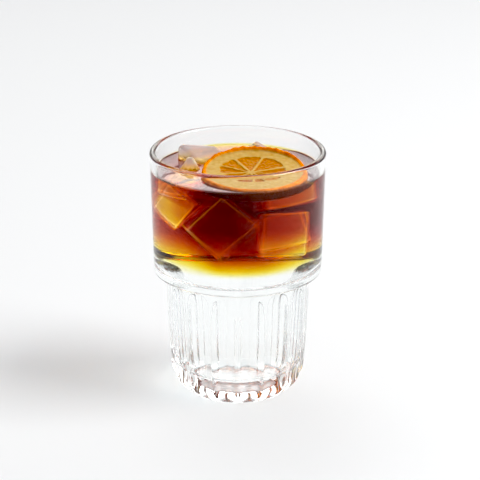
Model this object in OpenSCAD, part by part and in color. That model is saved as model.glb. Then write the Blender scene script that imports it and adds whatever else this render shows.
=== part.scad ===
// Layered cold brew in a stepped, fluted stacking tumbler, with ice and a wheel of orange.
// The glass stands on z = 0 with its axis on Z, and the drink is seen from -Y.

/* [Glass] */
// Diameter over the rim
rim_d = 84; // [82:1:102]
// Height of the glass
glass_h = 120; // [108:1:150]
// Thickness of the upper wall
wall_t = 2.8; // [2:0.1:3.6]
// How much the upper wall narrows from the rim to the step, on the radius
band_draft = 1; // [0:0.1:2]
// Height of the step, where the wide band meets the fluted body
step_h = 59.6; // [50:0.2:68]
// How far the band stands out from the fluted body
step_out = 6.2; // [4.5:0.1:8]
// How much the fluted body narrows from the step to the heel, on the radius
body_draft = 1.4; // [0:0.1:3]
// Thickness of the fluted body's wall at its ridges
body_wall_t = 3.6; // [3:0.1:5]
// Thickness of the base, measured on the axis
base_t = 11; // [8:0.5:16]
// Radius of the flat ring that the glass stands on
foot_r = 25.2; // [20:0.2:27]
// Height of the rounded heel
heel_h = 14; // [10:0.5:20]
// Depth of the hollow under the base
kick_h = 1.2; // [0.6:0.1:2]

/* [Flutes] */
// Flutes round the body, an even number
flutes = 16; // [12:2:20]
// Radius of the round tool that each flute follows
flute_r = 15; // [12:0.5:20]
// Depth of a flute where its arch begins
flute_depth = 1.5; // [1:0.1:2]
// Extra depth of a flute at the heel
flute_deepen = 0.8; // [0:0.1:1.2]
// Distance from the step down to the top of the arches
arch_drop = 1.6; // [1:0.1:4]

/* [Drink] */
// Distance from the rim down to the surface of the coffee
headspace = 9; // [6:0.5:20]
// Depth of the dark coffee layer
coffee_depth = 41.6; // [30:0.2:44]

/* [Orange wheel] */
// Diameter of the wheel
wheel_d = 50; // [40:1:52]
// Thickness of the wheel
wheel_t = 5; // [3.5:0.5:5]
// Height of the middle of its upper face above the coffee
wheel_lift = 2.1; // [1.5:0.1:3]
// Slope of the wheel, down towards the front
wheel_tilt = 4.4; // [3:0.2:7]
// Way from the glass's axis to the middle of the wheel, in degrees from +X
wheel_bearing = -54; // [-70:1:-40]
// Gap between the wheel and the wall where it comes nearest
wheel_wall_gap = 1.1; // [0.6:0.1:4]
// Width of the rind
rind_w = 2.4; // [1.5:0.1:3.5]
// Width of the white pith
pith_w = 6.2; // [3:0.1:8]
// How much the rind stands above the pith at the back, where it is raised most
rind_rise = 2.4; // [0:0.1:2.6]
// How much the back edge curls up
wheel_curl = 0.9; // [0:0.1:1.5]
// How far the flesh lies below its membranes
flesh_dip = 0.6; // [0:0.1:1]
// Segments in the wheel
segments = 9; // [8:1:12]

/* [Ice] */
// Radius of the melted edges of the ice
ice_round = 2.2; // [1:0.1:2.5]
// Height of the large block's peak above the coffee
ice_peak = 6.8; // [5:0.1:7]
// Edge of the large block
ice_edge = 15.5; // [13:0.5:16]
// Height of the small blocks' peaks above the coffee
small_ice_peak = 4.8; // [3:0.1:6.5]
// Edge of the small blocks
small_ice_edge = 13; // [10:0.5:13.5]

/* [Fits] */
// Gap between the drink and the glass
drink_gap = 0.12; // [0.05:0.01:0.3]
// Gap between the drink and what floats in it
float_gap = 0.25; // [0.1:0.05:0.5]

/* [Hidden] */
$fn = 96;

rim_r = rim_d / 2;
lip_r = wall_t / 2 + 0.1;
band_r = rim_r - 0.5;
band_low_r = band_r - band_draft;
band_inner_r = rim_r - 2 * lip_r;
band_inner_low_r = band_inner_r - band_draft / 2;
band_round = 2;
body_r = band_low_r - step_out;
heel_r = body_r - body_draft;
heel_round = 11.7;
foot_ring_w = 3.2;
kick_slope_w = 1.4;
well_r = body_r - body_wall_t;
well_low_r = well_r - body_draft;
well_round = 8;
ledge_lip = 2;
ledge_corner = 4;
ledge_slope = 18;
ledge_lip_h = step_h + 0.4;
// The round tool at the heel: its slope, and how far inside the foot's edge it starts
heel_tilt = 40;
heel_cut = 0.7;
// The blank is turned a little, so that its seam falls in no flute
seam_turn = 5;

coffee_top = glass_h - headspace;
layer_h = coffee_top - coffee_depth;

wheel_r = wheel_d / 2;
wheel_at = concat(polar(band_inner_r - wheel_wall_gap - wheel_r, wheel_bearing),
                  [coffee_top + wheel_lift]);
flesh_r = wheel_r - rind_w - pith_w;
core_r = 1.2;
edge_round = 0.9;
// Widths over which the face steps down into the flesh and up onto the rind
flesh_edge = 1.4;
rind_edge = 1.2;
rind_lap = 0.8;
wheel_steps = 72;

// Places of the ice's peaks: bearing from the middle of the wheel, and distance past its edge
back_left = [143, 17.5];
front_left = [158, 7.6];
back_right = [87, 6];
// Ways that each block's edges run down from its peak
back_left_edges = [[0.92, 0.35, -0.17], [0.72, -0.57, -0.4], [-0.05, -0.1, -1]];
front_left_edges = [[-0.47, -0.65, -0.58], [0.48, -0.62, -0.62], [-0.3, 0.35, -0.9]];
back_right_edges = [[0.83, 0.15, -0.53], [-0.72, 0.4, -0.56], [0, 0.06, -1]];

// Points along an arc of an ellipse, from angle a0 to a1
function arc(centre, radii, a0, a1, steps) =
  [for (i = [0:steps]) let (a = a0 + (a1 - a0) * i / steps)
    [centre[0] + radii[0] * cos(a), centre[1] + radii[1] * sin(a)]];
function smooth(t) = let (c = min(max(t, 0), 1)) c * c * (3 - 2 * c);
function polar(r, a) = [r * cos(a), r * sin(a)];
function bump(a, n, phase) = sin(n * a + phase);

// ---- Glass ----

module glass_outside() {
  rotate_extrude() polygon(concat(
    [[0, kick_h], [foot_r - foot_ring_w - kick_slope_w, kick_h], [foot_r - foot_ring_w, 0],
     [foot_r, 0]],
    arc([heel_r - heel_round, heel_h], [heel_round, heel_h], -60, 0, 6),
    [[body_r, step_h - arch_drop], [body_r, step_h]],
    arc([band_low_r - band_round, step_h + band_round], [band_round, band_round], -90, 0, 4),
    arc([rim_r - lip_r, glass_h - lip_r], [lip_r, lip_r], -10, 90, 6),
    [[0, glass_h]]));
}

// The hollow, shrunk by a gap where it shapes the drink
function well_points(gap) = concat(
  [[0, base_t + gap]],
  arc([well_low_r - well_round, base_t + well_round],
      [well_round - gap, well_round - gap], -90, 0, 6),
  arc([well_r + ledge_lip, ledge_lip_h], [ledge_lip + gap, ledge_lip + gap],
      180, 90 + ledge_slope, 4),
  arc([band_inner_low_r - ledge_corner, ledge_corner_h],
      [ledge_corner - gap, ledge_corner - gap], ledge_slope - 90, 0, 5));
ledge_run = band_inner_low_r - ledge_corner - well_r - ledge_lip
  + (ledge_corner + ledge_lip) * sin(ledge_slope);
ledge_corner_h = ledge_lip_h + (ledge_corner + ledge_lip) * cos(ledge_slope)
  + ledge_run * tan(ledge_slope);

module well(gap) {
  top = glass_h - lip_r;
  rotate_extrude() polygon(concat(well_points(gap), [[band_inner_r - gap, top], [0, top]]));
}

module rim_flare() {
  // Rounds the inner side of the lip
  difference() {
    translate([0, 0, glass_h - lip_r]) cylinder(r = rim_r - lip_r, h = lip_r + 1);
    rotate_extrude() translate([rim_r - lip_r, glass_h - lip_r]) circle(r = lip_r);
  }
}

module glass_blank() {
  difference() {
    glass_outside();
    well(0);
    rim_flare();
  }
}

// One flute: a tilted round tool with a ball end for the arch, and a steeper one at the heel
module flute() {
  top_z = step_h - arch_drop;
  arch_h = sqrt(pow(flute_r, 2) - pow(flute_r - flute_depth, 2));
  top_floor = body_r - flute_depth;
  low_floor = heel_r - flute_depth - flute_deepen;
  tilt = atan((top_floor - low_floor) / (top_z - arch_h - heel_h));
  translate([top_floor, 0, top_z - arch_h]) rotate([0, tilt, 0]) translate([flute_r, 0, 0]) {
    sphere(r = flute_r);
    translate([0, 0, -glass_h]) cylinder(r = flute_r, h = glass_h);
  }
  translate([foot_r - heel_cut, 0, 0]) rotate([0, heel_tilt, 0])
    translate([flute_r, 0, -flute_r]) cylinder(r = flute_r, h = 3 * flute_r);
}

// Every other flute, stopped short of the band above
module alternate_flutes(first) {
  intersection() {
    for (k = [first:2:flutes - 1]) rotate([0, 0, (k + 0.5) * 360 / flutes]) flute();
    translate([0, 0, -glass_h]) cylinder(r = rim_d, h = glass_h + step_h - arch_drop / 2);
  }
}

module glass() {
  color([0.86, 0.93, 0.95, 0.35]) difference() {
    difference() {
      rotate([0, 0, seam_turn]) glass_blank();
      alternate_flutes(0);
    }
    alternate_flutes(1);
  }
}

// ---- Drink ----

// The drink between two levels, inside the glass
module drink(low, high) {
  intersection() {
    well(drink_gap);
    translate([0, 0, low]) cylinder(r = rim_r, h = high - low);
  }
}

// The clear layer fills the fluted body and the bottom of the band
module tonic() {
  color([0.93, 0.97, 0.98, 0.3]) drink(0, layer_h);
}

// The coffee lies on the clear layer, and is cut round the wheel and the ice
module cold_brew() {
  color([0.3, 0.08, 0.02]) difference() {
    drink(layer_h, coffee_top);
    wheel_pocket();
    ice_back_left_form(float_gap);
    ice_front_left_form(float_gap);
    ice_back_right_form(float_gap);
  }
}

// ---- Orange wheel ----

module on_wheel() {
  translate(wheel_at) rotate([wheel_tilt, 0, 0]) children();
}

// The upper face: flesh dipped between membranes, pith, and a bumpy rind that curls up at the back
function face_z(r, a) =
  let (
    in_flesh = smooth((r - core_r) / 2) * smooth((flesh_r - r) / flesh_edge),
    in_segment = smooth(abs(sin(segments * a / 2)) * r / 4),
    at_rind = smooth((r - wheel_r + rind_w + rind_lap) / rind_edge),
    at_back = smooth(r * sin(a) / wheel_r),
    bumps = 0.75 + 0.15 * bump(a, 7, 20) + 0.1 * bump(a, 17, 75))
  wheel_curl * at_back + rind_rise * at_rind * bumps * (0.25 + 0.75 * at_back)
    - flesh_dip * in_flesh * in_segment;
function edge_r(a) = wheel_r - 0.25 + 0.15 * bump(a, 5, 40) + 0.1 * bump(a, 13, 10);

// Rings of the upper face, as shares of the way out to the edge
face_rings = [0.12, 0.25, 0.4, 0.52, (flesh_r - flesh_edge) / wheel_r, flesh_r / wheel_r,
              (flesh_r + 2) / wheel_r, 1 - (rind_w + rind_lap) / wheel_r,
              1 - (rind_w - 0.4) / wheel_r, 1 - edge_round / wheel_r];
function wheel_ring(r, a, under) = let (z = under ? wheel_curl * smooth(r * sin(a) / wheel_r)
  - wheel_t : face_z(r, a)) [r * cos(a), r * sin(a), z];
function side_ring(u, a) =
  let (
    top = face_z(wheel_r - edge_round, a) - edge_round,
    low = wheel_curl * smooth(sin(a)) - wheel_t + edge_round)
  [edge_r(a) * cos(a), edge_r(a) * sin(a), top + (low - top) * u];

module orange_slice() {
  angles = [for (i = [0:wheel_steps - 1]) i * 360 / wheel_steps];
  rings = concat(
    [for (s = face_rings) [for (a = angles) wheel_ring(s * edge_r(a), a, false)]],
    [for (u = [0, 0.5, 1]) [for (a = angles) side_ring(u, a)]],
    [for (s = [1 - edge_round / wheel_r, 0.8, 0.45]) [for (a = angles)
      wheel_ring(s * edge_r(a), a, true)]]);
  n = wheel_steps;
  last = len(rings) - 1;
  points = concat([for (ring = rings) each ring], [[0, 0, 0], [0, 0, -wheel_t]]);
  top_centre = len(points) - 2;
  low_centre = len(points) - 1;
  faces = concat(
    [for (i = [0:n - 1]) [top_centre, (i + 1) % n, i]],
    [for (j = [0:last - 1], i = [0:n - 1]) [j * n + i, j * n + (i + 1) % n, (j + 1) * n + i]],
    [for (j = [0:last - 1], i = [0:n - 1])
      [j * n + (i + 1) % n, (j + 1) * n + (i + 1) % n, (j + 1) * n + i]],
    [for (i = [0:n - 1]) [low_centre, last * n + i, last * n + (i + 1) % n]]);
  color([0.93, 0.6, 0.12]) on_wheel() polyhedron(points = points, faces = faces);
}

// The space that the wheel takes up in the coffee
module wheel_pocket() {
  on_wheel() translate([0, 0, -wheel_t - float_gap])
    cylinder(r = wheel_r + float_gap, h = wheel_t + headspace);
}

// ---- Ice ----

// A block with melted edges, which hangs from its peak along three edges
module ice_block(place, peak, edges, length, grow) {
  spot = polar(wheel_r + place[1], place[0]);
  start = [wheel_at[0] + spot[0], wheel_at[1] + spot[1], coffee_top + peak - ice_round];
  ways = [for (e = edges) e / norm(e) * length];
  hull() for (i = [0, 1], j = [0, 1], k = [0, 1])
    translate(start + i * ways[0] + j * ways[1] + k * ways[2])
      sphere(r = ice_round + grow, $fn = 20);
}
module ice_back_left_form(grow) {
  ice_block(back_left, ice_peak, back_left_edges, ice_edge, grow);
}
module ice_front_left_form(grow) {
  ice_block(front_left, small_ice_peak, front_left_edges, small_ice_edge, grow);
}
module ice_back_right_form(grow) {
  ice_block(back_right, ice_peak, back_right_edges, small_ice_edge, grow);
}
module ice_back_left() {
  color([0.9, 0.94, 0.96, 0.5]) ice_back_left_form(0);
}
module ice_front_left() {
  color([0.9, 0.94, 0.96, 0.5]) ice_front_left_form(0);
}
module ice_back_right() {
  color([0.9, 0.94, 0.96, 0.5]) ice_back_right_form(0);
}

glass();
tonic();
cold_brew();
orange_slice();
ice_back_left();
ice_front_left();
ice_back_right();
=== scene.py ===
import math
import random
import bmesh
import bpy
import numpy as np
from mathutils import Matrix, Vector, noise


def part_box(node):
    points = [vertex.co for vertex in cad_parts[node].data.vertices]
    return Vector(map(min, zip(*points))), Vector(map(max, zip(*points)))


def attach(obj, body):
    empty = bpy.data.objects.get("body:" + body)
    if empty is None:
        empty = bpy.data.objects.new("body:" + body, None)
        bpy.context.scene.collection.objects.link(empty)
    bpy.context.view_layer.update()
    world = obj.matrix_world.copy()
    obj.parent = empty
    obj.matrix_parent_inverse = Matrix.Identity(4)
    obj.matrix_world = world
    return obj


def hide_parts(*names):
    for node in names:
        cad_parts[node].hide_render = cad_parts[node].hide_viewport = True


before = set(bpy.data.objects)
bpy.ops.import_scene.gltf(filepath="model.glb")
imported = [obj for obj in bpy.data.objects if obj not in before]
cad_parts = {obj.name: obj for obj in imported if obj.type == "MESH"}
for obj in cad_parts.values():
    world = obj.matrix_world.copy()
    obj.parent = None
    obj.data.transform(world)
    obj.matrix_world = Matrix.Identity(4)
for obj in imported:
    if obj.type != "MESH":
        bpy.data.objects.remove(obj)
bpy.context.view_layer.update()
print("frame loaded")

mm = 0.001
noise.seed_set(7)  # noise vectors start from the clock without it
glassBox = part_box("glass")
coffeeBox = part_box("cold_brew")
rimRadius = round(glassBox[1][0] / mm)
glassHeight = glassBox[1][2] / mm
coffeeTop = coffeeBox[1][2] / mm
layerLevel = coffeeBox[0][2] / mm


# small helpers for outlines and grids, all in millimetres

def clamp01(t):
    return min(max(t, 0.0), 1.0)


def smoothStep(t):
    c = clamp01(t)
    return c * c * (3 - 2 * c)


def arcPoints(centre, radii, startAngle, endAngle, steps):
    points = []
    for i in range(steps + 1):
        a = math.radians(startAngle + (endAngle - startAngle) * i / steps)
        points.append((centre[0] + radii[0] * math.cos(a), centre[1] + radii[1] * math.sin(a)))
    return points


def resample(points, spacing):
    # walks along an outline and sets points at an even spacing, keeping its two ends
    lengths = [0.0]
    for p, q in zip(points, points[1:]):
        lengths.append(lengths[-1] + math.dist(p, q))
    steps = max(2, round(lengths[-1] / spacing))
    wanted = np.linspace(0, lengths[-1], steps + 1)
    xs = np.interp(wanted, lengths, [p[0] for p in points])
    ys = np.interp(wanted, lengths, [p[1] for p in points])
    return list(zip(xs.tolist(), ys.tolist()))


def newPiece(name, vertices, faces, smooth=True):
    mesh = bpy.data.meshes.new(name)
    mesh.from_pydata([(x * mm, y * mm, z * mm) for x, y, z in vertices], [], faces)
    mesh.update()
    if smooth:
        mesh.polygons.foreach_set("use_smooth", [True] * len(mesh.polygons))
    piece = bpy.data.objects.new(name, mesh)
    bpy.context.scene.collection.objects.link(piece)
    return piece


def latheSurface(outline, angles, radiusAt=None):
    # turns an outline that starts and ends on the axis round Z
    inner = outline[1:-1]
    n = len(angles)
    vertices = [(0, 0, outline[0][1])]
    for row, (r, z) in enumerate(inner):
        for a in angles:
            ra = radiusAt(r, z, a, row) if radiusAt else r
            vertices.append((ra * math.sin(a), -ra * math.cos(a), z))
    vertices.append((0, 0, outline[-1][1]))
    last = len(vertices) - 1
    faces = []
    for i in range(n):
        faces.append((0, 1 + (i + 1) % n, 1 + i))
    for j in range(len(inner) - 1):
        for i in range(n):
            k = (i + 1) % n
            faces.append((1 + j * n + i, 1 + j * n + k, 1 + (j + 1) * n + k, 1 + (j + 1) * n + i))
    base = 1 + (len(inner) - 1) * n
    for i in range(n):
        faces.append((base + i, base + (i + 1) % n, last))
    return vertices, faces


def evenAngles(n):
    return [2 * math.pi * i / n for i in range(n)]


def joinMeshes(parts):
    # joins (vertices, faces) pairs and gives the number of faces in each
    vertices = []
    faces = []
    counts = []
    for partVertices, partFaces in parts:
        start = len(vertices)
        vertices += partVertices
        faces += [tuple(start + i for i in f) for f in partFaces]
        counts.append(len(partFaces))
    return vertices, faces, counts


# node helpers

def newMaterial(name):
    material = bpy.data.materials.new(name)
    material.use_nodes = True
    tree = material.node_tree
    for node in list(tree.nodes):
        tree.nodes.remove(node)
    output = tree.nodes.new("ShaderNodeOutputMaterial")
    return material, tree, output


def addNode(tree, kind, **settings):
    node = tree.nodes.new(kind)
    for key, value in settings.items():
        if hasattr(node, key):
            setattr(node, key, value)
        else:
            node.inputs[key.replace("_", " ")].default_value = value
    return node


def link(tree, source, target):
    tree.links.new(source, target)


def rampNode(tree, stops):
    node = tree.nodes.new("ShaderNodeValToRGB")
    ramp = node.color_ramp
    while len(ramp.elements) < len(stops):
        ramp.elements.new(0.5)
    for element, (place, colour) in zip(ramp.elements, stops):
        element.position = place
        element.color = colour + (1,)
    return node


def readAttribute(tree, name):
    node = tree.nodes.new("ShaderNodeAttribute")
    node.attribute_name = name
    return node


def mixColour(tree, factor, first, second):
    node = tree.nodes.new("ShaderNodeMix")
    node.data_type = "RGBA"
    if isinstance(factor, float):
        node.inputs["Factor"].default_value = factor
    else:
        link(tree, factor, node.inputs["Factor"])
    for value, socket in ((first, node.inputs[6]), (second, node.inputs[7])):
        if isinstance(value, tuple):
            socket.default_value = value + (1,)
        else:
            link(tree, value, socket)
    return node.outputs[2]


def rangeNode(tree, source, low, high, **settings):
    # 0 at the low value and 1 at the high one
    node = addNode(tree, "ShaderNodeMapRange", **settings)
    node.inputs["From Min"].default_value = low
    node.inputs["From Max"].default_value = high
    link(tree, source, node.inputs["Value"])
    return node.outputs["Result"]


def principledOf(material):
    return next(n for n in material.node_tree.nodes if n.type == "BSDF_PRINCIPLED")


def groupTree(name, inputs, outputs):
    tree = bpy.data.node_groups.new(name, "ShaderNodeTree")
    for label, kind, value in inputs:
        socket = tree.interface.new_socket(name=label, in_out="INPUT", socket_type=kind)
        if value is not None:
            socket.default_value = value
    for label, kind in outputs:
        tree.interface.new_socket(name=label, in_out="OUTPUT", socket_type=kind)
    return tree, tree.nodes.new("NodeGroupInput"), tree.nodes.new("NodeGroupOutput")


def placeGroup(tree, group, **values):
    node = tree.nodes.new("ShaderNodeGroup")
    node.node_tree = group
    for key, value in values.items():
        node.inputs[key].default_value = value
    return node


def makeRippleGroup():
    # slow waves of a surface that was once molten: a height for a Bump node
    tree, start, end = groupTree(
        "moltenRipple",
        [("Scale", "NodeSocketFloat", 60.0), ("Fine", "NodeSocketFloat", 0.2)],
        [("Height", "NodeSocketFloat")])
    place = addNode(tree, "ShaderNodeTexCoord")
    broad = addNode(tree, "ShaderNodeTexNoise")
    broad.inputs["Detail"].default_value = 1.0
    fineScale = addNode(tree, "ShaderNodeMath", operation="MULTIPLY")
    fineScale.inputs[1].default_value = 5.0
    fine = addNode(tree, "ShaderNodeTexNoise")
    fine.inputs["Detail"].default_value = 2.0
    total = addNode(tree, "ShaderNodeMath", operation="MULTIPLY_ADD")
    link(tree, place.outputs["Object"], broad.inputs["Vector"])
    link(tree, place.outputs["Object"], fine.inputs["Vector"])
    link(tree, start.outputs["Scale"], broad.inputs["Scale"])
    link(tree, start.outputs["Scale"], fineScale.inputs[0])
    link(tree, fineScale.outputs[0], fine.inputs["Scale"])
    link(tree, fine.outputs["Fac"], total.inputs[0])
    link(tree, start.outputs["Fine"], total.inputs[1])
    link(tree, broad.outputs["Fac"], total.inputs[2])
    link(tree, total.outputs[0], end.inputs["Height"])
    return tree


rippleGroup = makeRippleGroup()


def clearMaterial(name, ior, tint=(1, 1, 1, 1), roughness=0.0, ripple=None, shadowTint=None,
                  clearness=1.0):
    # a clear body; the ripple bends its surface, and the shadow tint lets light through its shadow
    material, tree, output = newMaterial(name)
    body = addNode(tree, "ShaderNodeBsdfPrincipled")
    body.inputs["Base Color"].default_value = tint
    body.inputs["Roughness"].default_value = roughness
    body.inputs["IOR"].default_value = ior
    body.inputs["Transmission Weight"].default_value = clearness
    if ripple:
        waves = placeGroup(tree, rippleGroup, Scale=ripple["scale"], Fine=ripple["fine"])
        bump = addNode(tree, "ShaderNodeBump")
        bump.inputs["Strength"].default_value = ripple["strength"]
        bump.inputs["Distance"].default_value = ripple["depth"] * mm
        link(tree, waves.outputs["Height"], bump.inputs["Height"])
        link(tree, bump.outputs["Normal"], body.inputs["Normal"])
    if shadowTint:
        lightPath = addNode(tree, "ShaderNodeLightPath")
        through = addNode(tree, "ShaderNodeBsdfTransparent")
        through.inputs["Color"].default_value = shadowTint
        mix = addNode(tree, "ShaderNodeMixShader")
        link(tree, lightPath.outputs["Is Shadow Ray"], mix.inputs["Fac"])
        link(tree, body.outputs["BSDF"], mix.inputs[1])
        link(tree, through.outputs["BSDF"], mix.inputs[2])
        link(tree, mix.outputs["Shader"], output.inputs["Surface"])
    else:
        link(tree, body.outputs["BSDF"], output.inputs["Surface"])
    return material


# refractive index of each clear body; where two touch, only one of the two surfaces bends the light

opticSizes = {
    "glass": 1.5,
    "drink": 1.333,
    "ice": 1.31,
    "sunkIce": 1.004,
}


# glass: a stepped tumbler with a plain band above a fluted body

glassSizes = {
    "wall": 2.8,
    "bandDraft": 1.0,
    "stepHeight": 59.6,
    "stepOut": 6.2,
    "bodyDraft": 1.4,
    "bodyWall": 3.6,
    "base": 11.0,
    "foot": 25.2,
    "heel": 14.0,
    "kick": 1.2,
    "flutes": 16,
    "fluteRadius": 15.0,
    "fluteDepth": 1.5,
    "fluteDeepen": 0.8,
    "archDrop": 1.6,
    "neck": 0.8,
    "bandCorner": 2.0,
    "heelSlope": 40.0,
    "heelCut": 0.7,
    "heelBlend": 1.2,
    "heelRound": 11.7,
    "footRing": 3.0,
    "ledgeLip": 2.0,
    "ledgeCorner": 4.0,
    "ledgeSlope": 18.0,
    "wellRound": 8.0,
    "baseRise": 0.7,
    "ridgeSoftness": 0.1,
    "columnsPerFlute": 20,
    "columnCrowding": 0.6,
    "tint": (0.985, 0.995, 0.992, 1),
    "shadowTint": (0.9, 0.92, 0.93, 1),
    "underRoughness": 0.4,
}

lipRadius = glassSizes["wall"] / 2 + 0.1
bandLowRadius = rimRadius - 0.5 - glassSizes["bandDraft"]
bandInnerRadius = rimRadius - 2 * lipRadius
bandInnerLowRadius = bandInnerRadius - glassSizes["bandDraft"] / 2
bodyRadius = bandLowRadius - glassSizes["stepOut"]
heelRadius = bodyRadius - glassSizes["bodyDraft"]
wellRadius = bodyRadius - glassSizes["bodyWall"]
wellLowRadius = wellRadius - glassSizes["bodyDraft"]
ledgeLip = glassSizes["ledgeLip"]
ledgeCorner = glassSizes["ledgeCorner"]
ledgeSlope = glassSizes["ledgeSlope"]
wellRound = glassSizes["wellRound"]
ledgeLipHeight = glassSizes["stepHeight"] + 0.4
ledgeRun = (bandInnerLowRadius - ledgeCorner - wellRadius - ledgeLip
            + (ledgeCorner + ledgeLip) * math.sin(math.radians(ledgeSlope)))
ledgeCornerHeight = (ledgeLipHeight
                     + (ledgeCorner + ledgeLip) * math.cos(math.radians(ledgeSlope))
                     + ledgeRun * math.tan(math.radians(ledgeSlope)))


def wellOutline(gap):
    # the hollow of the glass from the axis up to the band's corner, moved in by a gap
    floorCorner = (wellLowRadius - wellRound, glassSizes["base"] + wellRound)
    points = [(0, glassSizes["base"] + gap)]
    points += arcPoints(floorCorner, (wellRound - gap, wellRound - gap), -90, 0, 16)
    points += arcPoints((wellRadius + ledgeLip, ledgeLipHeight),
                        (ledgeLip + gap, ledgeLip + gap), 180, 90 + ledgeSlope, 12)
    points += arcPoints((bandInnerLowRadius - ledgeCorner, ledgeCornerHeight),
                        (ledgeCorner - gap, ledgeCorner - gap), ledgeSlope - 90, 0, 14)
    return points


def floorRise(gap):
    # the hollow's floor is a little higher in the middle
    base = glassSizes["base"] + gap
    return [(0, base + glassSizes["baseRise"]), (6, base + 0.5), (12, base)]


def wallRadiusAt(z):
    # inner radius of the glass at a height
    if z >= ledgeCornerHeight:
        t = (z - ledgeCornerHeight) / (glassHeight - lipRadius - ledgeCornerHeight)
        return bandInnerLowRadius + (bandInnerRadius - bandInnerLowRadius) * t
    outline = wellOutline(0)
    return float(np.interp(z, [p[1] for p in outline], [p[0] for p in outline]))


archTop = glassSizes["stepHeight"] - glassSizes["archDrop"]
archHeight = math.sqrt(glassSizes["fluteRadius"] ** 2
                       - (glassSizes["fluteRadius"] - glassSizes["fluteDepth"]) ** 2)
archStart = archTop - archHeight
topFloor = bodyRadius - glassSizes["fluteDepth"]
lowFloor = heelRadius - glassSizes["fluteDepth"] - glassSizes["fluteDeepen"]


def fluteRadiusAt(z, offset):
    # radius of one flute's floor at a height, an angle away from the flute's middle
    rho = glassSizes["fluteRadius"]
    if z > archStart:
        rise = z - archStart
        if rise >= rho:
            return 1e3
        axis = topFloor + rho
        reach = math.sqrt(rho * rho - rise * rise)
    else:
        fall = (archStart - z) / (archStart - glassSizes["heel"])
        wallFloor = topFloor - (topFloor - lowFloor) * fall
        slope = math.tan(math.radians(glassSizes["heelSlope"]))
        heelFloor = glassSizes["foot"] - glassSizes["heelCut"] + z * slope
        k = glassSizes["heelBlend"]
        floor = -k * math.log(math.exp(-wallFloor / k) + math.exp(-heelFloor / k))
        axis = floor + rho
        reach = rho
    side = axis * math.sin(offset)
    if abs(side) >= reach:
        return 1e3
    return axis * math.cos(offset) - math.sqrt(reach * reach - side * side)


def flutedRadius(r, z, a):
    # the round body cut by the nearest flutes, with the ridges between them softened
    step = 2 * math.pi / glassSizes["flutes"]
    offset = (a % step) - step / 2
    candidates = [r, fluteRadiusAt(z, offset), fluteRadiusAt(z, offset - step),
                  fluteRadiusAt(z, offset + step)]
    least = min(candidates)
    k = glassSizes["ridgeSoftness"]
    total = sum(math.exp(-(c - least) / k) for c in candidates)
    return least - k * math.log(total)


def glassOutline():
    # from the middle of the underside out, up the fluted body and the band, over the lip and down inside
    foot = glassSizes["foot"]
    kick = glassSizes["kick"]
    heel = glassSizes["heel"]
    step = glassSizes["stepHeight"]
    ring = foot - glassSizes["footRing"]
    heelRound = glassSizes["heelRound"]
    under = resample([(0, kick), (foot - 5.4, kick)], 3.0)
    underRows = len(under) - 1
    under += resample(arcPoints((foot - 5.4, kick - 0.8), (0.8, 0.8), 90, 40, 4)
                      + [(foot - 3.4, 0.08), (ring, 0), (foot - 0.5, 0)], 0.4)[1:]
    heelArc = arcPoints((heelRadius - heelRound, heel), (heelRound, heel), -62, 0, 40)
    lower = resample([(foot - 0.5, 0), (foot + 0.1, 0.15)] + heelArc, 0.75)[1:]
    neck = glassSizes["neck"]
    wall = resample([(heelRadius, heel), (bodyRadius, archStart - 6)], 1.6)[1:]
    arch = resample([(bodyRadius, archStart - 6), (bodyRadius, step - neck)], 0.36)[1:]
    fillet = arcPoints((bodyRadius + neck, step - neck), (neck, neck), 180, 90, 5)[1:]
    shelf = [(bodyRadius + 2.2, step), (bandLowRadius - 3.2, step)]
    lipHeight = glassHeight - lipRadius
    bandCorner = glassSizes["bandCorner"]
    corner = arcPoints((bandLowRadius - bandCorner, step + bandCorner), (bandCorner, bandCorner), -90, 0, 9)
    band = resample([(bandLowRadius, step + bandCorner), (rimRadius - 0.04, lipHeight - 0.3)], 2.2)[1:]
    lip = arcPoints((rimRadius - lipRadius, lipHeight), (lipRadius, lipRadius), 0, 180, 22)
    waterline = (wallRadiusAt(coffeeTop), coffeeTop)
    dryWall = resample([(bandInnerRadius, lipHeight), waterline], 2.0)[1:]
    wetWall = resample([waterline, (bandInnerLowRadius, ledgeCornerHeight)], 2.4)[1:]
    well = list(reversed(wellOutline(0)))
    lowWall = resample([well[27], well[28]], 2.6)
    floor = well[28:-1]
    outline = under + lower + wall + arch + fillet + shelf + corner + band + lip
    outline += dryWall
    wetRow = len(outline) - 2
    outline += wetWall + well[1:27] + lowWall[:-1] + floor + list(reversed(floorRise(0)))
    outerRows = len(under + lower + wall + arch) - 1
    return outline, underRows, outerRows, wetRow


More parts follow.
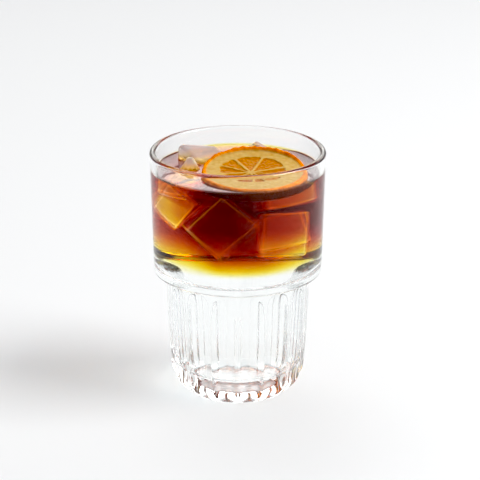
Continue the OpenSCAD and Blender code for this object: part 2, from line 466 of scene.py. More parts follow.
def buildGlass():
    outline, underRows, outerRows, wetRow = glassOutline()
    count = glassSizes["columnsPerFlute"]
    angles = []  # closer together at the ridges between the flutes
    for flute in range(glassSizes["flutes"]):
        for i in range(count):
            t = i / count
            t -= glassSizes["columnCrowding"] * math.sin(2 * math.pi * t) / (2 * math.pi)
            angles.append(2 * math.pi * (flute + t) / glassSizes["flutes"])

    def radiusAt(r, z, a, row):
        if row < outerRows and r > glassSizes["foot"] - glassSizes["footRing"]:
            return flutedRadius(r, z, a)
        return r

    vertices, faces = latheSurface(outline, angles, radiusAt)
    piece = newPiece("tumbler", vertices, faces)
    slowRipple = {"scale": 45.0, "fine": 0.15, "strength": 0.12, "depth": 0.6}
    for name, ior, roughness, ripple in (
            ("pressedGlass", opticSizes["glass"], 0.0, slowRipple),
            ("pressedGlassWet", opticSizes["glass"] / opticSizes["drink"], 0.0, None),
            ("pressedGlassUnder", opticSizes["glass"], glassSizes["underRoughness"], slowRipple)):
        material = clearMaterial(name, ior, tint=glassSizes["tint"], roughness=roughness,
                                 ripple=ripple, shadowTint=glassSizes["shadowTint"])
        piece.data.materials.append(material)
    dryFaces = (1 + wetRow) * len(angles)
    underFaces = underRows * len(angles)
    wet = [2] * underFaces + [0] * (dryFaces - underFaces) + [1] * (len(faces) - dryFaces)
    piece.data.polygons.foreach_set("material_index", wet)
    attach(piece, "root")
    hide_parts("glass")
    return piece


buildGlass()
print("glass built")


# ice: blocks with melted edges; three stand out of the coffee and the rest are sunk

iceSizes = {
    "round": 2.2,
    "largeEdge": 15.5,
    "smallEdge": 13.0,
    "peakAbove": 6.8,
    "smallPeakAbove": 4.8,
    "sunkRound": 1.7,
    "unevenness": 0.35,
    "roundShare": 0.2,
    "overlap": 0.05,
    "clearance": 0.08,
    # painted glow along the sunk ice's edges: its strength, its colour, and where it starts on the edge
    # share
    "paintedEdgeGlowStrength": 0.3,
    "paintedEdgeGlowColour": (1.0, 0.8, 0.6),
    "paintedEdgeGlowFrom": 0.55,
    "amber": (0.98, 0.66, 0.2),
    "amberFrom": 0.4,
    "amberTo": 3.0,
    "white": (0.985, 0.99, 0.99),
    "sunkTint": (0.99, 0.995, 1.0, 1),
    "shadowTint": (0.9, 0.93, 0.95, 1),
    "clearness": 0.7,
}


def gridLevels(roundShare, roundSteps, flatSteps):
    # places of the grid lines from -1 to 1, set so that the rounded part turns evenly
    half = 1 - roundShare
    levels = [half + roundShare * math.tan(math.radians(45 * i / roundSteps)) for i in range(roundSteps + 1)]
    flat = [-half + 2 * half * i / flatSteps for i in range(1, flatSteps)]
    return [-v for v in reversed(levels)] + flat + levels


def cubeGrid():
    # a closed cube whose faces are grids, finer near the edges
    levels = gridLevels(iceSizes["roundShare"], 4, 6)
    mesh = bmesh.new()
    for axis in range(3):
        for sign in (-1, 1):
            rows = []
            for u in levels:
                row = []
                for v in levels:
                    p = [0.0, 0.0, 0.0]
                    p[axis] = sign
                    p[(axis + 1) % 3] = u
                    p[(axis + 2) % 3] = v * sign
                    row.append(mesh.verts.new(p))
                rows.append(row)
            for j in range(len(levels) - 1):
                for i in range(len(levels) - 1):
                    mesh.faces.new((rows[j][i], rows[j + 1][i], rows[j + 1][i + 1], rows[j][i + 1]))
    bmesh.ops.remove_doubles(mesh, verts=mesh.verts, dist=1e-6)
    return mesh


def blockSurface(start, ways, radius, seed, uneven):
    # a block spanned by three edges from its start corner, rounded by a ball that rolls over it
    ways = [Vector(w) for w in ways]
    normals = [ways[1].cross(ways[2]).normalized(), ways[2].cross(ways[0]).normalized(),
               ways[0].cross(ways[1]).normalized()]
    for i in range(3):
        if normals[i].dot(ways[i]) < 0:
            normals[i].negate()
    mesh = cubeGrid()
    half = 1 - iceSizes["roundShare"]
    origin = Vector(start)
    shift = Vector((seed * 7.3, seed * 3.1, seed * 5.7))
    shares = []
    for vertex in mesh.verts:
        p = vertex.co.copy()
        core = Vector([min(max(c, -half), half) for c in p])
        away = p - core
        turn = sum((away[i] * normals[i] for i in range(3)), Vector())
        turn.normalize()
        reach = sorted(abs(c) for c in away)
        shares.append(reach[1] / reach[2])
        place = origin.copy()
        for i in range(3):
            place += ways[i] * ((core[i] / half + 1) / 2)
        place += turn * radius
        wave = noise.noise_vector((place + shift) / 9.0) * uneven
        wave += noise.noise_vector((place + shift) / 3.2) * uneven * 0.25
        vertex.co = place + wave
    bmesh.ops.recalc_face_normals(mesh, faces=mesh.faces)
    mesh.verts.index_update()
    vertices = [tuple(v.co) for v in mesh.verts]
    faces = [tuple(v.index for v in f.verts) for f in mesh.faces]
    mesh.free()
    return vertices, faces, shares  # a share is 1 along the middle of an edge and 0 on a flat side


def polarPoint(r, bearing):
    return (r * math.cos(math.radians(bearing)), r * math.sin(math.radians(bearing)))


# the orange wheel's place, which the ice follows

wheelSizes = {
    "diameter": 50.0,
    "thickness": 5.0,
    "lift": 2.1,
    "tilt": 4.4,
    "bearing": -54.0,
    "wallGap": 1.1,
    "rind": 2.4,
    "rindRise": 2.1,
    "curl": 0.9,
    "segments": 9,
}

wheelRadius = wheelSizes["diameter"] / 2
wheelSpot = polarPoint(bandInnerRadius - wheelSizes["wallGap"] - wheelRadius, wheelSizes["bearing"])
wheelCentre = Vector((wheelSpot[0], wheelSpot[1], coffeeTop + wheelSizes["lift"]))

blockPlan = {
    "ice_back_left": {
        "bearing": 143.0, "out": 17.5, "peak": iceSizes["peakAbove"], "edge": iceSizes["largeEdge"],
        "ways": [(0.92, 0.35, -0.17), (0.72, -0.57, -0.4), (-0.05, -0.1, -1)], "seed": 1},
    "ice_front_left": {
        "bearing": 158.0, "out": 7.6, "peak": iceSizes["smallPeakAbove"], "edge": iceSizes["smallEdge"],
        "ways": [(-0.47, -0.65, -0.58), (0.48, -0.62, -0.62), (-0.3, 0.35, -0.9)], "seed": 2},
    "ice_back_right": {
        "bearing": 87.0, "out": 6.0, "peak": iceSizes["peakAbove"], "edge": iceSizes["smallEdge"],
        "ways": [(0.83, 0.15, -0.53), (-0.72, 0.4, -0.56), (0, 0.06, -1)], "seed": 3},
}


def floatingBlock(plan, grow=0.0):
    spot = polarPoint(wheelRadius + plan["out"], plan["bearing"])
    start = (wheelCentre.x + spot[0], wheelCentre.y + spot[1],
             coffeeTop + plan["peak"] - iceSizes["round"])
    ways = [Vector(w).normalized() * plan["edge"] for w in plan["ways"]]
    return blockSurface(start, ways, iceSizes["round"] + grow, plan["seed"], iceSizes["unevenness"])[:2]


# cubes that hang under the surface: middle, edge lengths, and turns about Z, X and Y in degrees

sunkCubes = [
    {"middle": (-7.3, -23.5, 91.0), "edges": (24.0, 12.0, 24.0), "turns": (6, 3, 44)},
    {"middle": (-27.3, -15.0, 98.5), "edges": (15.5, 19.0, 16.0), "turns": (-14, -8, 36)},
    {"middle": (-22.5, 5.0, 94.0), "edges": (18.0, 20.0, 17.0), "turns": (-16, -10, 40)},
    {"middle": (-17.0, 22.0, 89.0), "edges": (16.0, 14.0, 18.0), "turns": (-20, -12, 20)},
    {"middle": (19.0, -15.5, 84.5), "edges": (21.0, 19.0, 21.0), "turns": (12, -14, 4)},
    {"middle": (13.0, 8.0, 80.5), "edges": (20.0, 22.0, 17.0), "turns": (18, -12, -8)},
    {"middle": (21.0, -10.0, 102.5), "edges": (22.0, 24.0, 9.0), "turns": (12, -12, -6)},
    {"middle": (14.0, 15.0, 97.0), "edges": (20.0, 18.0, 12.0), "turns": (12, -12, -6)},
    {"middle": (-25.5, -8.0, 105.3), "edges": (15.0, 21.0, 8.0), "turns": (-16, -9, 4)},
    {"middle": (-15.0, 25.5, 99.0), "edges": (16.0, 13.0, 10.0), "turns": (-14, -9, 5)},
]


def sunkBlock(plan, seed, grow=0.0):
    turn = (Matrix.Rotation(math.radians(plan["turns"][0]), 3, "Z")
            @ Matrix.Rotation(math.radians(plan["turns"][1]), 3, "X")
            @ Matrix.Rotation(math.radians(plan["turns"][2]), 3, "Y"))
    ball = iceSizes["sunkRound"]
    axes = ((1, 0, 0), (0, 1, 0), (0, 0, 1))
    ways = [turn @ Vector(axis) * (edge - 2 * ball) for axis, edge in zip(axes, plan["edges"])]
    start = Vector(plan["middle"]) - (ways[0] + ways[1] + ways[2]) / 2
    return blockSurface(start, ways, ball + grow, seed, iceSizes["unevenness"])


def cutByLevel(vertices, faces, level, keepAbove):
    # the closed part of a block above or below a level
    mesh = bmesh.new()
    made = [mesh.verts.new(v) for v in vertices]
    for f in faces:
        mesh.faces.new([made[i] for i in f])
    side = 1 if keepAbove else -1
    cut = bmesh.ops.bisect_plane(mesh, geom=mesh.verts[:] + mesh.edges[:] + mesh.faces[:],
                                 plane_co=(0, 0, level), plane_no=(0, 0, -side), clear_outer=True)
    rim = [e for e in cut["geom_cut"] if isinstance(e, bmesh.types.BMEdge)]
    bmesh.ops.edgeloop_fill(mesh, edges=rim)
    bmesh.ops.recalc_face_normals(mesh, faces=mesh.faces)
    mesh.verts.index_update()
    result = ([tuple(v.co) for v in mesh.verts], [tuple(v.index for v in f.verts) for f in mesh.faces])
    mesh.free()
    return result


iceRipple = {"scale": 140.0, "fine": 0.3, "strength": 0.3, "depth": 0.8}
dryIce = clearMaterial("wetIceInAir", opticSizes["ice"], ripple=iceRipple,
                       shadowTint=iceSizes["shadowTint"], clearness=iceSizes["clearness"])
wetIce = clearMaterial("iceInDrink", opticSizes["sunkIce"], tint=iceSizes["sunkTint"])


def warmFoot(material):
    # ice in air takes the coffee's amber where it stands in the drink
    tree = material.node_tree
    place = addNode(tree, "ShaderNodeTexCoord")
    split = addNode(tree, "ShaderNodeSeparateXYZ")
    link(tree, place.outputs["Object"], split.inputs[0])
    height = rangeNode(tree, split.outputs["Z"], (coffeeTop + iceSizes["amberFrom"]) * mm,
                       (coffeeTop + iceSizes["amberTo"]) * mm, interpolation_type="SMOOTHSTEP")
    tint = mixColour(tree, height, iceSizes["amber"], iceSizes["white"])
    link(tree, tint, principledOf(material).inputs["Base Color"])


warmFoot(dryIce)


def sunkIceMaterial():
    # ice under the surface, with a painted glow along its melted edges that stands in for the light they
    # catch
    material = clearMaterial("sunkIce", opticSizes["sunkIce"], tint=iceSizes["sunkTint"])
    tree = material.node_tree
    edge = readAttribute(tree, "edgeShare")
    share = rangeNode(tree, edge.outputs["Fac"], iceSizes["paintedEdgeGlowFrom"], 1.0)
    body = principledOf(material)
    # painted glow: the edges give off light, though no lamp is there
    link(tree, mixColour(tree, share, (0, 0, 0), iceSizes["paintedEdgeGlowColour"]), body.inputs["Emission Color"])
    body.inputs["Emission Strength"].default_value = iceSizes["paintedEdgeGlowStrength"]
    return material


cavities = []
for node, plan in blockPlan.items():
    vertices, faces = floatingBlock(plan)
    cavities.append(floatingBlock(plan, iceSizes["clearance"]))
    above = cutByLevel(vertices, faces, coffeeTop - iceSizes["overlap"], True)
    below = cutByLevel(vertices, faces, coffeeTop - 2 * iceSizes["overlap"], False)
    allVertices, allFaces, counts = joinMeshes([above, below])
    piece = newPiece(node + "_block", allVertices, allFaces)
    piece.data.materials.append(dryIce)
    piece.data.materials.append(wetIce)
    piece.data.polygons.foreach_set("material_index", [0] * counts[0] + [1] * counts[1])
    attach(piece, "root")
    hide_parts(node)

sunkParts = []
edgeShares = []
for index, plan in enumerate(sunkCubes):
    vertices, faces, shares = sunkBlock(plan, 11 + index)
    sunkParts.append((vertices, faces))
    edgeShares += shares
    cavities.append(sunkBlock(plan, 11 + index, iceSizes["clearance"])[:2])
allVertices, allFaces, counts = joinMeshes(sunkParts)
sunkIce = newPiece("sunk_ice", allVertices, allFaces, smooth=False)
sunkIce.data.materials.append(sunkIceMaterial())
edgeLayer = sunkIce.data.attributes.new("edgeShare", "FLOAT", "POINT")
edgeLayer.data.foreach_set("value", edgeShares)
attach(sunkIce, "root")
print("ice built")


# drink: one clear body up to the surface, and the dark coffee inside its upper part

drinkSizes = {
    "intoWall": 0.05,
    "meniscus": 0.7,
    "meniscusWidth": 2.2,
    "columns": 192,
    "levelColumns": 96,
    "levelRings": 8,
    "blendStart": 68.6,
    "blendDepth": 7.0,
    "blendLeft": 19.0,
    "blendRight": 9.0,
    "blendLevels": 8,
    "blendSlope": 18.0,
    "levelGap": 0.01,
    "cutFromStrength": 0.3,
    "wallSteps": 12,
    "underSurface": 0.04,
    "absorb": (33.0, 128.0, 1000.0),
    "mainStrength": 1.12,
}

coffeeIntoWall = drinkSizes["intoWall"] * 1.2


def surfaceOutline(intoWall, level):
    # the liquid's top from the wall to the axis, climbing the glass at its edge
    wall = wallRadiusAt(level) + intoWall
    points = []
    for i in range(9):
        away = drinkSizes["meniscusWidth"] * (i / 8) ** 1.5
        rise = drinkSizes["meniscus"] * math.exp(-2.4 * away / drinkSizes["meniscusWidth"])
        points.append((wall - away, level + rise))
    points += [(wall * share, level) for share in (0.85, 0.65, 0.45, 0.25, 0.1)]
    return points + [(0, level)]


def buildClearDrink():
    gap = -drinkSizes["intoWall"]
    outline = floorRise(gap) + wellOutline(gap)[1:]
    wall = [(wallRadiusAt(z) - gap, z) for z in np.linspace(ledgeCornerHeight + 2, coffeeTop - 1, 14)]
    outline = outline + wall
    wetFaces = len(outline) * drinkSizes["columns"]
    outline += surfaceOutline(-gap, coffeeTop)
    vertices, faces = latheSurface(outline, evenAngles(drinkSizes["columns"]))
    piece = newPiece("clear_drink", vertices, faces)
    stillRipple = {"scale": 30.0, "fine": 0.1, "strength": 0.02, "depth": 0.4}
    for name, ior, ripple in (("drinkSurface", opticSizes["drink"], stillRipple),
                              ("drinkAtGlass", 1.0, None)):
        material = clearMaterial(name, ior, tint=(1, 1, 1, 1), roughness=0.0, ripple=ripple,
                                 shadowTint=(0.97, 0.98, 0.98, 1))
        piece.data.materials.append(material)
    wet = [1] * wetFaces + [0] * (len(faces) - wetFaces)
    piece.data.polygons.foreach_set("material_index", wet)
    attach(piece, "root")
    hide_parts("tonic")
    return piece


def coffeeMaterial(name, strength):
    # clear coffee: what passes through it turns yellow, then amber, then nearly black
    material, tree, output = newMaterial(name)
    body = addNode(tree, "ShaderNodeBsdfPrincipled")
    body.inputs["Base Color"].default_value = (1, 1, 1, 1)
    body.inputs["Roughness"].default_value = 0.0
    body.inputs["IOR"].default_value = 1.0
    body.inputs["Transmission Weight"].default_value = 1.0
    absorb = addNode(tree, "ShaderNodeVolumeAbsorption")
    most = max(drinkSizes["absorb"])
    absorb.inputs["Color"].default_value = tuple(1 - a / most for a in drinkSizes["absorb"]) + (1,)
    absorb.inputs["Density"].default_value = most * strength
    link(tree, body.outputs["BSDF"], output.inputs["Surface"])
    link(tree, absorb.outputs["Volume"], output.inputs["Volume"])
    return material


def cutOut(piece, parts, name):
    # hollows a piece by the ice that it holds
    vertices, faces, counts = joinMeshes(parts)
    tool = newPiece(name, vertices, faces, smooth=False)  # flat, as soft normals stop grazing rays
    modifier = piece.modifiers.new("ice", "BOOLEAN")
    modifier.operation = "DIFFERENCE"
    modifier.solver = "EXACT"
    modifier.use_self = True
    modifier.object = tool
    graph = bpy.context.evaluated_depsgraph_get()
    mesh = bpy.data.meshes.new_from_object(piece.evaluated_get(graph))
    piece.modifiers.clear()
    old = piece.data
    piece.data = mesh
    bpy.data.meshes.remove(old)
    bpy.data.objects.remove(tool)


def blendHeight(share, x):
    # where the coffee has thinned to a share of its strength: it is swirled higher at the sides
    slope = drinkSizes["blendSlope"]
    reach = (drinkSizes["blendDepth"] + drinkSizes["blendLeft"] * smoothStep((-x - 8) / slope)
             + drinkSizes["blendRight"] * smoothStep((x - 12) / slope))
    return drinkSizes["blendStart"] + share * reach


def levelDisc(share, lift):
    # rings of points across the glass on one level of the blend, from the axis to the wall
    rings = []
    for j in range(1, drinkSizes["levelRings"] + 1):
        ring = []
        for a in evenAngles(drinkSizes["levelColumns"]):
            x = wallRadiusAt(layerLevel) * j / drinkSizes["levelRings"] * math.sin(a)
            z = blendHeight(share, x) + lift
            r = (wallRadiusAt(z) + coffeeIntoWall) * j / drinkSizes["levelRings"]
            ring.append((r * math.sin(a), -r * math.cos(a), z))
        rings.append(ring)
    return rings


def topDisc():
    # the coffee's top, just under the clear drink's surface
    rings = []
    angles = evenAngles(drinkSizes["levelColumns"])
    for r, z in reversed(surfaceOutline(coffeeIntoWall, coffeeTop)[:-1]):
        z -= drinkSizes["underSurface"]
        rings.append([(r * math.sin(a), -r * math.cos(a), z) for a in angles])
    return rings


def wallRings(low, high, steps):
    rings = []
    for j in range(1, steps):
        ring = []
        for a, b in zip(low, high):
            z = a[2] + (b[2] - a[2]) * j / steps
            r = wallRadiusAt(z) + coffeeIntoWall
            scale = r / math.hypot(a[0], a[1])
            ring.append((a[0] * scale, a[1] * scale, z))
        rings.append(ring)
    return rings


def coffeeBody(name, lowRings, highRings, strength, steps):
    # one level of the coffee, from wall to wall, with the ice cut out of it
    rings = lowRings + wallRings(lowRings[-1], highRings[-1], steps) + list(reversed(highRings))
    n = drinkSizes["levelColumns"]
    vertices = [(0, 0, lowRings[0][0][2])] + [p for ring in rings for p in ring]
    vertices.append((0, 0, highRings[0][0][2]))
    faces = [(0, 1 + (i + 1) % n, 1 + i) for i in range(n)]
    for j in range(len(rings) - 1):
        for i in range(n):
            k = (i + 1) % n
            faces.append((1 + j * n + i, 1 + j * n + k, 1 + (j + 1) * n + k, 1 + (j + 1) * n + i))
    base = 1 + (len(rings) - 1) * n
    faces += [(base + i, base + (i + 1) % n, len(vertices) - 1) for i in range(n)]
    piece = newPiece(name, vertices, faces, smooth=False)
    low = min(v[2] for v in vertices)
    high = max(v[2] for v in vertices)
    reached = [c for c in cavities if min(v[2] for v in c[0]) < high and max(v[2] for v in c[0]) > low]
    if reached and strength > drinkSizes["cutFromStrength"]:
        cutOut(piece, reached, "iceTool")
    piece.data.materials.append(coffeeMaterial(name + "_tint", strength))
    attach(piece, "root")
    return piece


def buildColdBrew():
    # the coffee thins out downwards into the clear drink, level by level
    count = drinkSizes["blendLevels"]
    gap = drinkSizes["levelGap"]
    for i in range(count):
        low = levelDisc(i / count, gap)
        high = levelDisc((i + 1) / count, -gap)
        coffeeBody("coffee_level_%d" % (i + 1), low, high, (i + 0.5) / count, 1)
    piece = coffeeBody("coffee_main", levelDisc(1.0, gap), topDisc(), drinkSizes["mainStrength"],
                       drinkSizes["wallSteps"])
    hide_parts("cold_brew")
    return piece


buildClearDrink()
buildColdBrew()
print("drink built")


# orange wheel: rind, pith, membranes and flesh on one sheet of relief

fleshSizes = {
    "offset": (-0.6, 1.6),
    "radiusX": 16.2,
    "radiusY": 14.6,
    "hub": (-1.4, -2.4),
    "membrane": 0.55,
    "dip": 0.55,
    "sacks": 0.22,
    "columns": 420,
    "rings": 110,
    "sideSteps": 12,
    "underRings": 10,
    "corner": 2.2,
    "wobble": 0.5,
    "rimGap": 0.3,
    "rimWave": 0.28,
    "sideRound": 0.018,
    "topInset": 0.028,
    "underInset": 0.025,
    "pits": 0.12,
}

wheelLook = {
    "sackStops": [(0.0, (0.64, 0.23, 0.002)), (0.45, (0.48, 0.125, 0.001)), (1.0, (0.24, 0.04, 0.001))],
    "darkSegment": (0.44, 0.13, 0.001),
    "paleSegment": (0.66, 0.28, 0.004),
    "pithStops": [(0.3, (0.58, 0.33, 0.07)), (0.7, (0.68, 0.46, 0.16))],
    "rindStops": [(0.25, (0.55, 0.13, 0.002)), (0.55, (0.86, 0.25, 0.003)), (0.85, (0.95, 0.42, 0.015))],
    # painted shade for the part of the wheel under the drink's surface
    "paintedUnderDrinkShade": (0.16, 0.035, 0.002),
    "dryRoughness": 0.5,
    "wetRoughness": 0.28,
    "sackScale": 1.5,
    "mottleScale": 420.0,
    "pitScale": 900.0,
    "depth": 0.3,
}


def wheelRelief(x, y):
    # height of the upper face, and masks for flesh, pith and rind, in the wheel's own plane
    r = math.hypot(x, y)
    a = math.atan2(y, x)
    back = smoothStep(y / wheelRadius)
    wobble = 0.5 * noise.noise(Vector((math.cos(a) * 1.6, math.sin(a) * 1.6, 3.0)))
    rindAt = wheelRadius - wheelSizes["rind"] + fleshSizes["wobble"] * wobble
    fx = (x - fleshSizes["offset"][0]) / fleshSizes["radiusX"]
    fy = (y - fleshSizes["offset"][1]) / fleshSizes["radiusY"]
    fleshEdge = (1 - math.hypot(fx, fy)) * fleshSizes["radiusY"]
    hx = x - fleshSizes["hub"][0]
    hy = y - fleshSizes["hub"][1]
    hubDistance = math.hypot(hx, hy)
    hubAngle = math.atan2(hy, hx)
    n = wheelSizes["segments"]
    turn = (hubAngle / (2 * math.pi) * n + 0.25
            + 0.12 * math.sin(2 * hubAngle + 1.0) + 0.07 * math.sin(5 * hubAngle)) % n
    index = math.floor(turn)
    share = turn - index
    halfWidth = hubDistance * math.pi / n * 2
    toSide = min(share, 1 - share) * halfWidth
    corner = fleshSizes["corner"]
    edge = fleshEdge + 0.5 * noise.noise(Vector((x * 0.35, y * 0.35, 7.0)))
    a1 = max(corner - edge, 0)
    a2 = max(corner - toSide, 0)
    inside = corner - math.hypot(a1, a2) if (a1 > 0 and a2 > 0) else min(edge, toSide)
    flesh = smoothStep((inside - fleshSizes["membrane"] * 0.5) / 0.7)
    flesh *= smoothStep((hubDistance - 1.1) / 1.4)
    rind = smoothStep((r - rindAt + 0.35) / 0.7)
    grain = noise.noise(Vector((hubAngle * 9 + index, hubDistance * 0.32, 2.0)))
    grain += 0.6 * noise.noise(Vector((x * 0.9, y * 0.9, 4.0)))
    z = wheelSizes["curl"] * back
    z -= flesh * (fleshSizes["dip"] - fleshSizes["sacks"] * grain)
    z += (1 - flesh) * (1 - rind) * 0.12 * noise.noise(Vector((x * 0.5, y * 0.5, 9.0)))
    bumps = noise.noise(Vector((math.cos(a) * 7.5, math.sin(a) * 7.5, r * 0.22)))
    bumps += 0.6 * noise.noise(Vector((math.cos(a) * 19, math.sin(a) * 19, r * 0.5)))
    lean = 0.22 + 0.78 * back
    crest = smoothStep((r - rindAt + 0.6) / 1.3)
    z += wheelSizes["rindRise"] * crest * lean * (0.78 + 0.42 * bumps * (0.35 + 0.65 * back))
    return z, flesh, rind, index, back


def wheelEdge(a):
    # radius of the wheel's slightly uneven rim
    base = wheelRadius - fleshSizes["rimGap"]
    c = math.cos(a)
    s = math.sin(a)
    return (base + fleshSizes["rimWave"] * noise.noise(Vector((c * 5, s * 5, 1.0)))
            + 0.14 * noise.noise(Vector((c * 17, s * 17, 5.0))))


def wheelPoints():
    # upper face from the middle out, rim, and underside back to the middle, with the masks of each point
    columns = fleshSizes["columns"]
    rings = fleshSizes["rings"]
    sideSteps = fleshSizes["sideSteps"]
    underRings = fleshSizes["underRings"]
    thickness = wheelSizes["thickness"]
    angles = evenAngles(columns)
    vertices = [(0.0, 0.0, wheelRelief(0, 0)[0])]
    masks = [wheelRelief(0, 0)]
    for j in range(1, rings + 1):
        t = j / rings
        for a in angles:
            if j < rings:
                r = wheelEdge(a) * t * (1 - fleshSizes["topInset"])
            else:
                r = wheelEdge(a) * (1 - fleshSizes["sideRound"])
            x = r * math.cos(a)
            y = r * math.sin(a)
            relief = wheelRelief(x, y)
            vertices.append((x, y, relief[0] - (0.12 if j == rings else 0.0)))
            masks.append(relief)
    topRing = 1 + (rings - 1) * columns
    for j in range(1, sideSteps + 1):
        u = j / sideSteps
        bulge = math.sin(math.pi * u) ** 0.5
        for i, a in enumerate(angles):
            relief = masks[topRing + i]
            topZ = vertices[topRing + i][2]
            back = smoothStep(math.sin(a))
            lowZ = wheelSizes["curl"] * back - thickness
            pits = noise.noise(Vector((math.cos(a) * 30, math.sin(a) * 30, u * 6)))
            pits *= fleshSizes["pits"]
            r = wheelEdge(a) * (1 - fleshSizes["sideRound"] * (1 - bulge)) + pits * bulge
            vertices.append((r * math.cos(a), r * math.sin(a), topZ + (lowZ - topZ) * u))
            masks.append((0, 0.0, 1.0, relief[3], back))
    for j in range(1, underRings):
        t = 1 - j / underRings
        for a in angles:
            r = wheelEdge(a) * (1 - fleshSizes["underInset"]) * t
            x = r * math.cos(a)
            y = r * math.sin(a)
            relief = wheelRelief(x, y)
            z = wheelSizes["curl"] * relief[4] - thickness + 0.3 * relief[1]
            vertices.append((x, y, z))
            masks.append(relief)
    vertices.append((0.0, 0.0, -thickness))
    masks.append(wheelRelief(0, 0))
    return vertices, masks


def wheelFaces(rows, columns):
    faces = [(0, 1 + i, 1 + (i + 1) % columns) for i in range(columns)]
    for j in range(rows - 1):
        for i in range(columns):
            k = (i + 1) % columns
            top = 1 + j * columns
            low = top + columns
            faces.append((top + i, low + i, low + k, top + k))
    base = 1 + (rows - 1) * columns
    last = 1 + rows * columns
    faces += [(last, base + (i + 1) % columns, base + i) for i in range(columns)]
    return faces


def storeValues(piece, name, values):
    layer = piece.data.attributes.new(name, "FLOAT", "POINT")
    layer.data.foreach_set("value", values)


def buildOrange():
    vertices, masks = wheelPoints()
    rows = fleshSizes["rings"] + fleshSizes["sideSteps"] + fleshSizes["underRings"] - 1
    faces = wheelFaces(rows, fleshSizes["columns"])
    place = Matrix.Translation(wheelCentre) @ Matrix.Rotation(math.radians(wheelSizes["tilt"]), 4, "X")
    placed = [tuple(place @ Vector(v)) for v in vertices]
    piece = newPiece("orange_wheel", placed, faces)
    draws = random.Random(5)
    tones = [draws.uniform(0, 1) for i in range(wheelSizes["segments"] + 1)]
    storeValues(piece, "fleshShare", [float(m[1]) for m in masks])
    storeValues(piece, "rindShare", [float(m[2]) for m in masks])
    # painted shade: a share that grows below the drink's surface
    storeValues(piece, "underDrinkShadeShare", [smoothStep((coffeeTop + 0.2 - v[2]) / 1.2) for v in placed])
    storeValues(piece, "segmentTone", [tones[int(m[3]) % wheelSizes["segments"]] for m in masks])
    grain = piece.data.attributes.new("grainPlace", "FLOAT_VECTOR", "POINT")
    flat = []
    for x, y, z in vertices:
        hx = x - fleshSizes["hub"][0]
        hy = y - fleshSizes["hub"][1]
        flat += [math.atan2(hy, hx) * 9.0, math.hypot(hx, hy) * 0.42, 0.0]
    grain.data.foreach_set("vector", flat)
    piece.data.materials.append(orangeMaterial())
    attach(piece, "root")
    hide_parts("orange_slice")
    return piece


def orangeMaterial():
    # sacks of juice in segments of uneven tone, mottled pith, and a pitted rind; painted shade darkens the
    # part under the drink's surface
    material, tree, output = newMaterial("orangeWheel")
    flesh = readAttribute(tree, "fleshShare")
    rind = readAttribute(tree, "rindShare")
    shadeUnderDrink = readAttribute(tree, "underDrinkShadeShare")
    tone = readAttribute(tree, "segmentTone")
    grain = readAttribute(tree, "grainPlace")
    place = addNode(tree, "ShaderNodeTexCoord")
    sacks = addNode(tree, "ShaderNodeTexVoronoi", feature="SMOOTH_F1")
    sacks.inputs["Scale"].default_value = wheelLook["sackScale"]
    link(tree, grain.outputs["Vector"], sacks.inputs["Vector"])
    mottle = addNode(tree, "ShaderNodeTexNoise")
    mottle.inputs["Scale"].default_value = wheelLook["mottleScale"]
    mottle.inputs["Detail"].default_value = 4.0
    link(tree, place.outputs["Object"], mottle.inputs["Vector"])
    fleshRamp = rampNode(tree, wheelLook["sackStops"])
    link(tree, sacks.outputs["Distance"], fleshRamp.inputs["Fac"])
    segment = mixColour(tree, tone.outputs["Fac"], wheelLook["darkSegment"], wheelLook["paleSegment"])
    fleshMix = mixColour(tree, 0.5, fleshRamp.outputs["Color"], segment)
    pithRamp = rampNode(tree, wheelLook["pithStops"])
    link(tree, mottle.outputs["Fac"], pithRamp.inputs["Fac"])
    rindRamp = rampNode(tree, wheelLook["rindStops"])
    link(tree, mottle.outputs["Fac"], rindRamp.inputs["Fac"])
    base = mixColour(tree, flesh.outputs["Fac"], pithRamp.outputs["Color"], fleshMix)
    base = mixColour(tree, rind.outputs["Fac"], base, rindRamp.outputs["Color"])
    # painted shade: darker under the drink's surface
    base = mixColour(tree, shadeUnderDrink.outputs["Fac"], base, wheelLook["paintedUnderDrinkShade"])
    body = addNode(tree, "ShaderNodeBsdfPrincipled")
    link(tree, base, body.inputs["Base Color"])
    wet = addNode(tree, "ShaderNodeMapRange")
    wet.inputs["To Min"].default_value = wheelLook["dryRoughness"]
    wet.inputs["To Max"].default_value = wheelLook["wetRoughness"]
    link(tree, flesh.outputs["Fac"], wet.inputs["Value"])
    link(tree, wet.outputs["Result"], body.inputs["Roughness"])
    body.inputs["IOR"].default_value = 1.38
    body.inputs["Specular IOR Level"].default_value = 0.08
    body.inputs["Subsurface Weight"].default_value = 0.25
    body.inputs["Subsurface Radius"].default_value = (1.0, 0.45, 0.12)
    body.inputs["Subsurface Scale"].default_value = 0.003
    pits = addNode(tree, "ShaderNodeTexVoronoi", feature="F1")
    pits.inputs["Scale"].default_value = wheelLook["pitScale"]
    link(tree, place.outputs["Object"], pits.inputs["Vector"])
    relief = mixColour(tree, rind.outputs["Fac"], sacks.outputs["Distance"], pits.outputs["Distance"])
    bump = addNode(tree, "ShaderNodeBump")
    bump.inputs["Strength"].default_value = 0.5
    bump.inputs["Distance"].default_value = wheelLook["depth"] * mm
    link(tree, relief, bump.inputs["Height"])
    link(tree, bump.outputs["Normal"], body.inputs["Normal"])
    link(tree, body.outputs["BSDF"], output.inputs["Surface"])
    return material


buildOrange()
print("orange wheel built")


# camera, floor and light

cameraPlan = {
    "distance": 1.0,
    "height": 0.429,
    "pitch": 19.52,
    "lens": 165.2,
    "shiftX": 0.0046,
}

camera = bpy.data.objects.new("camera", bpy.data.cameras.new("camera"))
camera.location = (0, -cameraPlan["distance"], cameraPlan["height"])
camera.rotation_euler = (math.radians(90 - cameraPlan["pitch"]), 0, 0)
camera.data.lens = cameraPlan["lens"]
camera.data.sensor_width = 36
camera.data.shift_x = cameraPlan["shiftX"]
camera.data.clip_start = 0.01
camera.data.clip_end = 20
bpy.context.scene.collection.objects.link(camera)
bpy.context.scene.camera = camera

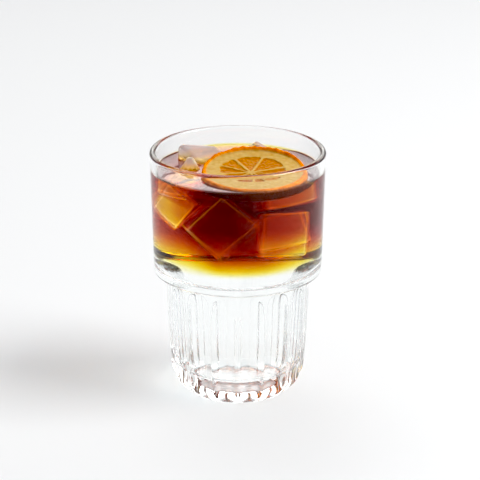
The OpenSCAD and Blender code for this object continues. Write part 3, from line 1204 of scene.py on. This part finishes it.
lightPlan = {
    "floor": (0.86, 0.86, 0.862),
    # painted shade: the floor's colour far from the glass
    "floorFarShade": (0.22, 0.22, 0.225),
    "floorNear": 0.95,
    "floorFar": 1.7,
    "skyFront": (0.26, 0.262, 0.265),
    "skyBack": (0.78, 0.785, 0.79),
    "skyTop": (0.55, 0.56, 0.57),
    "skyStrength": 1.0,
    "panel": (2.8, 2.8, 2.78),
    "keyWatts": 20.5,
    "topWatts": 2.0,
    "blackPoint": 0.042,
}


def buildFloor():
    # pale round the glass, with painted shade that darkens it far off, which draws the grey lines in the
    # clear glass
    material, tree, output = newMaterial("paleFloor")
    body = addNode(tree, "ShaderNodeBsdfPrincipled")
    place = addNode(tree, "ShaderNodeTexCoord")
    far = addNode(tree, "ShaderNodeVectorMath", operation="LENGTH")
    link(tree, place.outputs["Object"], far.inputs[0])
    reach = rangeNode(tree, far.outputs["Value"], lightPlan["floorNear"], lightPlan["floorFar"],
                      interpolation_type="SMOOTHSTEP")
    shade = mixColour(tree, reach, lightPlan["floor"], lightPlan["floorFarShade"])
    link(tree, shade, body.inputs["Base Color"])
    body.inputs["Roughness"].default_value = 0.6
    body.inputs["Specular IOR Level"].default_value = 0.2
    link(tree, body.outputs["BSDF"], output.inputs["Surface"])
    size = 6000
    corners = [(-size, -size, 0), (size, -size, 0), (size, size, 0), (-size, size, 0)]
    floor = newPiece("floor", corners, [(0, 1, 2, 3)], smooth=False)
    floor.data.materials.append(material)
    return floor


def addSoftLight(name, place, target, size, watts, colour=(1, 1, 1)):
    data = bpy.data.lights.new(name, "AREA")
    data.shape = "RECTANGLE"
    data.size = size[0]
    data.size_y = size[1]
    data.energy = watts
    data.color = colour
    lamp = bpy.data.objects.new(name, data)
    lamp.location = place
    way = Vector(target) - Vector(place)
    lamp.rotation_euler = way.to_track_quat("-Z", "Y").to_euler()
    bpy.context.scene.collection.objects.link(lamp)
    return lamp


buildFloor()


def buildWorld():
    # a studio that is dim on the camera's side, with a bright panel behind the glass
    world = bpy.data.worlds.new("studio")
    world.use_nodes = True
    tree = world.node_tree
    background = tree.nodes["Background"]
    place = addNode(tree, "ShaderNodeTexCoord")
    split = addNode(tree, "ShaderNodeSeparateXYZ")
    link(tree, place.outputs["Generated"], split.inputs[0])
    backward = split.outputs["Y"]
    upward = split.outputs["Z"]
    soft = {"interpolation_type": "SMOOTHSTEP"}
    side = rangeNode(tree, backward, -0.55, 0.5, **soft)
    height = rangeNode(tree, upward, 0.35, 0.95, **soft)
    level = mixColour(tree, side, lightPlan["skyFront"], lightPlan["skyBack"])
    level = mixColour(tree, height, level, lightPlan["skyTop"])
    panelSide = rangeNode(tree, backward, 0.45, 0.8, **soft)
    panelLow = rangeNode(tree, upward, 0.2, 0.28, **soft)
    panelHigh = rangeNode(tree, upward, 0.52, 0.42, **soft)
    panel = addNode(tree, "ShaderNodeMath", operation="MULTIPLY")
    link(tree, panelSide, panel.inputs[0])
    link(tree, panelLow, panel.inputs[1])
    panelMask = addNode(tree, "ShaderNodeMath", operation="MULTIPLY")
    link(tree, panel.outputs[0], panelMask.inputs[0])
    link(tree, panelHigh, panelMask.inputs[1])
    level = mixColour(tree, panelMask.outputs[0], level, lightPlan["panel"])
    link(tree, level, background.inputs["Color"])
    background.inputs["Strength"].default_value = lightPlan["skyStrength"]
    bpy.context.scene.world = world


buildWorld()
addSoftLight("keyRight", (1.2, -0.25, 1.25), (0, 0, 0.05), (0.9, 0.9), lightPlan["keyWatts"])
addSoftLight("topBack", (-0.3, 0.8, 1.2), (0, 0, 0.06), (0.7, 0.4), lightPlan["topWatts"])

scene = bpy.context.scene
scene.view_settings.view_transform = "Standard"
scene.view_settings.use_curve_mapping = True
scene.view_settings.curve_mapping.black_level = (lightPlan["blackPoint"],) * 3
scene.view_settings.curve_mapping.update()
scene.cycles.max_bounces = 128
scene.cycles.transmission_bounces = 128
scene.cycles.transparent_max_bounces = 32
scene.cycles.diffuse_bounces = 4
scene.cycles.glossy_bounces = 12
scene.cycles.use_denoising = True
print("camera and light set")
